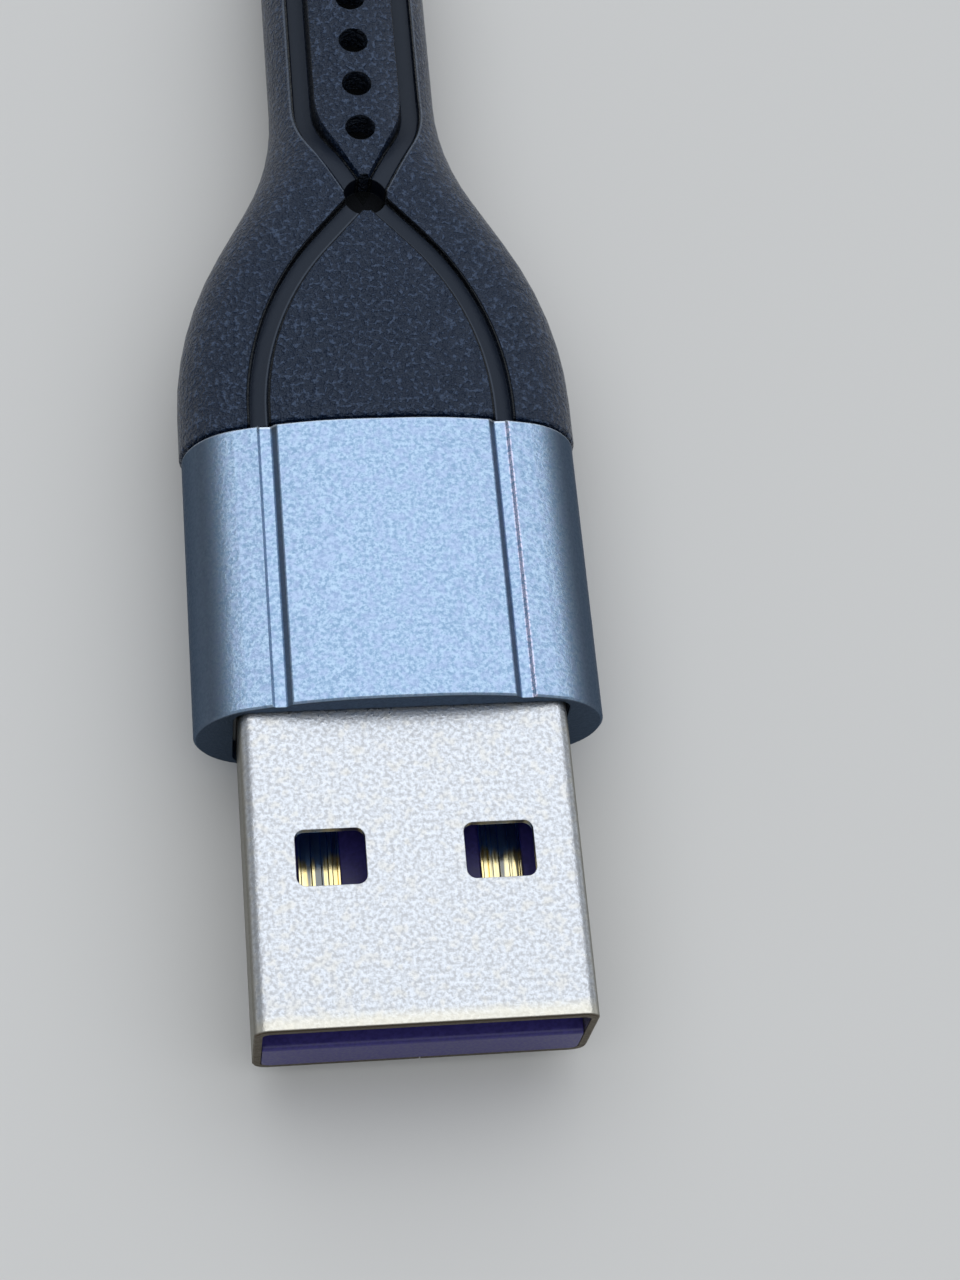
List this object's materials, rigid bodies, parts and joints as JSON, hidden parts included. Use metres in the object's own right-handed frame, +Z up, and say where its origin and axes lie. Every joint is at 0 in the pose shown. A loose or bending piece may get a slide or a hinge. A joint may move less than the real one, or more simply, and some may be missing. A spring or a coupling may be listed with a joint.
{
  "type": "charging cable plug",
  "caption": "Flat rectangular charging plug with a folded metal shell, a satin metal sleeve and a moulded strain relief that narrows to the cord.",
  "frame": {"origin": "middle of the sleeve's underside, on its flat middle strip, half way along the sleeve", "axes": "+Y from the plug's mouth to the cord end, +X across the width, +Z up out of the face over the contacts"},
  "size_m": [0.0154, 0.0514, 0.0066],
  "materials": {
    "shell_metal": "satin nickel plating over a rolled steel sheet",
    "tongue_plastic": "deep purple moulded plastic, slightly satin",
    "contact_gold": "gold plated, bright",
    "retainer_plastic": "plain moulded",
    "inner_plastic": "plain moulded, unseen",
    "sleeve_metal": "fine blasted and anodised blue grey",
    "boot_elastomer": "black elastomer with a fine spark-eroded grain, smooth in the channels"
  },
  "bodies": {
    "root": {"plug_shell": "shell_metal", "contact_tongue": "tongue_plastic", "contact_power": "contact_gold", "contact_data_minus": "contact_gold", "contact_data_plus": "contact_gold", "contact_ground": "contact_gold", "tail_retainer": "retainer_plastic", "inner_mould": "inner_plastic", "sleeve": "sleeve_metal", "strain_relief": "boot_elastomer"}
  },
  "joints": []
}
